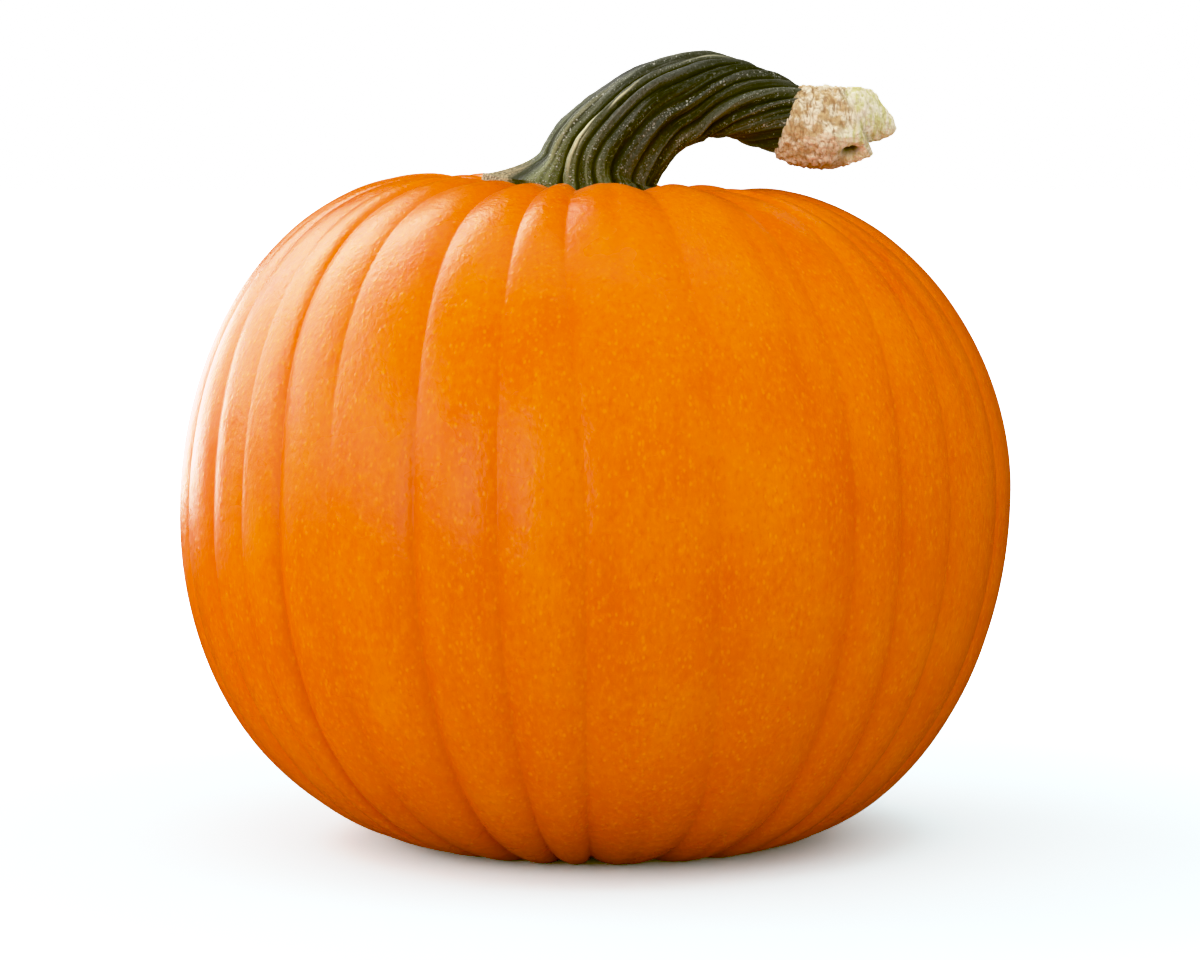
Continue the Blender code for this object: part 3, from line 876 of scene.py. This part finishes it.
def bark_specks(recipe, bark):
    """White specks of two sizes, in crowds along the ridges and not in the grooves."""
    crowd = recipe.noise(recipe.stretched(bark.grain, 1.0, 1.0, 0.2), 7.0 * MM, 2.0)
    coarse = recipe.specks(1.2 * MM, recipe.between(crowd, 0.42, 0.62, 0.97, 0.55))
    fine = recipe.specks(0.7 * MM, recipe.between(crowd, 0.40, 0.60, 0.95, 0.45))
    speck = recipe.maths("MAXIMUM", coarse, recipe.times(fine, 0.8))
    return recipe.times(speck, recipe.between(bark.groove, 0.6, 0.3))


def cork_share(recipe, bark):
    """1 on the corky rim of the foot, which reaches higher on the left toe, and 0 elsewhere."""
    edge = recipe.plus(bark.climb, recipe.times(bark.band, 0.16))
    left = recipe.between(bark.side, -0.80, -0.97, 0.0, 0.62)
    return recipe.between(recipe.maths("SUBTRACT", edge, left), 0.32, 0.12)


def bark_material():
    """Dry stalk: black-green, olive at the foot, with pale streaks, white specks and corky toes."""
    recipe = Recipe("stem_bark", 0.5, 0.35)
    bark = Bark(recipe)
    speck = bark_specks(recipe, bark)
    cork = recipe.mix(recipe.between(bark.grit, 0.38, 0.60), BARK["dark cork"], BARK["pale cork"])
    tone = bark_tone(recipe, bark)
    tone = recipe.mix(recipe.times(cream_streak(recipe, bark), 0.85), tone, BARK["cream"])
    tone = recipe.mix(recipe.times(speck, 0.8), tone, BARK["speck"])
    tone = recipe.mix(cork_share(recipe, bark), tone, cork)

    relief = recipe.plus(bark.fibre, recipe.times(bark.grit, 0.4))
    relief = recipe.plus(relief, recipe.times(speck, 0.8))
    return recipe.finish(tone, relief, 0.7 * MM, recipe.between(bark.fibre, 0.3, 0.7, 0.42, 0.62))


def torn_material():
    """Torn end: a tan, crumbly collar of dried skin and pale, stringy pulp, with painted shade on the
    collar's underside, in its creases and in the notch.
    """
    recipe = Recipe("stem_torn_end", 0.8, 0.3)
    place = recipe.place()
    blotch = recipe.noise(place, 5 * MM, 4.0, 0.6)
    grit = recipe.noise(place, 1.1 * MM, 4.0, 0.65)
    string = recipe.noise(recipe.stretched(place, 1.0, 0.6, 0.25), 1.6 * MM, 4.0, 0.6)

    collar = recipe.mix(recipe.between(blotch, 0.42, 0.58), TORN["tan"], TORN["buff"])
    collar = recipe.mix(recipe.between(string, 0.46, 0.34, 0.0, 0.8), collar, TORN["rust"])
    # painted shade: the collar is darker where it faces down
    underside_shade = recipe.between(recipe.attribute("below"), 0.80, 1.0, 0.0, 0.7)
    collar = recipe.mix(underside_shade, collar, TORN["underside_shade"])
    flesh = recipe.mix(recipe.between(string, 0.38, 0.60), TORN["green pulp"], TORN["cream pulp"])
    flesh = recipe.mix(recipe.between(blotch, 0.50, 0.64, 0.0, 0.7), flesh, TORN["pink pulp"])
    flesh = recipe.mix(recipe.between(grit, 0.40, 0.28, 0.0, 0.6), flesh, TORN["pore"])
    tone = recipe.mix(recipe.attribute("pulp"), collar, flesh)
    # painted shade in the creases
    tone = recipe.mix(recipe.times(recipe.attribute("crease"), 0.75), tone, TORN["crease"])
    # painted shade: near-black in the notch
    tone = recipe.mix(recipe.between(recipe.attribute("notch"), 0.25, 0.75), tone, TORN["notch"])
    relief = recipe.plus(grit, recipe.times(string, 0.8))
    return recipe.finish(tone, relief, 0.8 * MM)


def matt(nodes, red, green, blue):
    """A matt surface of one colour."""
    node = nodes.new("ShaderNodeBsdfDiffuse")
    node.inputs["Color"].default_value = (red, green, blue, 1.0)
    return node.outputs[0]


def distant_glow(nodes, links):
    """Light that fades the floor to pure white away from the fruit."""
    place = nodes.new("ShaderNodeTexCoord")
    distance = nodes.new("ShaderNodeVectorMath")
    distance.operation = "LENGTH"
    links.new(place.outputs["Object"], distance.inputs[0])
    far = nodes.new("ShaderNodeMapRange")
    far.interpolation_type = "SMOOTHSTEP"
    far.inputs["From Min"].default_value = GLOW_START
    far.inputs["From Max"].default_value = GLOW_FULL
    far.inputs["To Max"].default_value = WHITE
    links.new(distance.outputs["Value"], far.inputs["Value"])
    glow = nodes.new("ShaderNodeEmission")
    links.new(far.outputs["Result"], glow.inputs["Strength"])
    return glow.outputs[0]


def floor_material():
    """White paper: bright where the camera looks, and dim in what it throws back onto the pumpkin."""
    material = bpy.data.materials.new("floor")
    material.use_nodes = True
    nodes, links = material.node_tree.nodes, material.node_tree.links
    nodes.clear()
    seen = nodes.new("ShaderNodeAddShader")
    links.new(matt(nodes, *PAPER_COLOUR), seen.inputs[0])
    links.new(distant_glow(nodes, links), seen.inputs[1])
    dark = matt(nodes, 0.0, 0.0, 0.0)
    shader = matt(nodes, FLOOR_BOUNCE, FLOOR_BOUNCE, FLOOR_BOUNCE)
    path = nodes.new("ShaderNodeLightPath")
    for ray, choice in (("Is Camera Ray", seen.outputs[0]), ("Is Glossy Ray", dark)):
        mix = nodes.new("ShaderNodeMixShader")
        links.new(path.outputs[ray], mix.inputs[0])
        links.new(shader, mix.inputs[1])
        links.new(choice, mix.inputs[2])
        shader = mix.outputs[0]
    output = nodes.new("ShaderNodeOutputMaterial")
    links.new(shader, output.inputs["Surface"])
    return material


def make_camera():
    """A long lens, a little above the middle of the fruit and looking slightly down."""
    data = bpy.data.cameras.new("camera")
    data.lens = LENS
    data.sensor_width = SENSOR_WIDTH
    camera = bpy.data.objects.new("camera", data)
    camera.location = CAMERA_PLACE
    aim = Vector(CAMERA_AIM) - camera.location
    camera.rotation_euler = aim.to_track_quat("-Z", "Y").to_euler()
    bpy.context.scene.collection.objects.link(camera)
    bpy.context.scene.camera = camera


def make_stage():
    """A floor that reaches past everything in view."""
    bpy.ops.mesh.primitive_plane_add(size=FLOOR_SIZE)
    floor = bpy.context.object
    floor.name = "floor"
    floor.data.materials.append(floor_material())


def make_world():
    """White where the camera looks, dark in reflections and a soft grey fill for everything else."""
    world = bpy.data.worlds.new("world")
    bpy.context.scene.world = world
    world.use_nodes = True
    nodes, links = world.node_tree.nodes, world.node_tree.links
    path = nodes.new("ShaderNodeLightPath")
    strength = FILL
    for ray, value in (("Is Glossy Ray", 0.0), ("Is Camera Ray", WHITE)):
        mix = nodes.new("ShaderNodeMix")
        if isinstance(strength, float):
            mix.inputs["A"].default_value = strength
        else:
            links.new(strength, mix.inputs["A"])
        mix.inputs["B"].default_value = value
        links.new(path.outputs[ray], mix.inputs["Factor"])
        strength = mix.outputs["Result"]
    links.new(strength, nodes["Background"].inputs["Strength"])
    nodes["Background"].inputs["Color"].default_value = (1.0, 1.0, 1.0, 1.0)


def make_lights():
    """Soft boxes on a ball round the fruit, all facing its middle."""
    for name, azimuth, rise, width, height, watts, use in LAMPS:
        turn, climb = math.radians(azimuth), math.radians(rise)
        level = math.cos(climb)
        direction = Vector((math.sin(turn) * level, -math.cos(turn) * level, math.sin(climb)))
        data = bpy.data.lights.new(name, "AREA")
        data.shape = "RECTANGLE"
        data.size = width
        data.size_y = height
        data.energy = watts
        lamp = bpy.data.objects.new(name, data)
        lamp.location = LAMP_AIM + LAMP_DISTANCE * direction
        lamp.rotation_euler = (-direction).to_track_quat("-Z", "Y").to_euler()
        lamp.visible_glossy = use != "fill"
        lamp.visible_diffuse = use != "shine"
        bpy.context.scene.collection.objects.link(lamp)


def set_look():
    """A soft shoulder for the bright tones, and blue that starts a little above black."""
    view = bpy.context.scene.view_settings
    view.view_transform = "Standard"
    view.use_curve_mapping = True
    mapping = view.curve_mapping
    mapping.black_level = (0.0, 0.0, BLUE_FLOOR)
    mapping.white_level = (WHITE, WHITE, WHITE)
    curve = mapping.curves[3]   # the one that all three colours share
    for amount, shown in TONE_CURVE:
        curve.points.new(amount, shown)
    mapping.update()


def main():
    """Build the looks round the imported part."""
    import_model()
    fruit, stalk, torn_end = make_fruit(), make_stalk(), make_torn_end()
    for piece, material, slot in ((fruit, rind_material(), "rind"), (stalk, bark_material(), "stem"),
                                  (torn_end, torn_material(), "stem")):
        piece.data.materials.append(material)
        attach(piece, "root")
    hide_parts("fruit")
    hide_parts("stem")
    make_stage()
    make_world()
    make_lights()
    make_camera()
    set_look()


main()
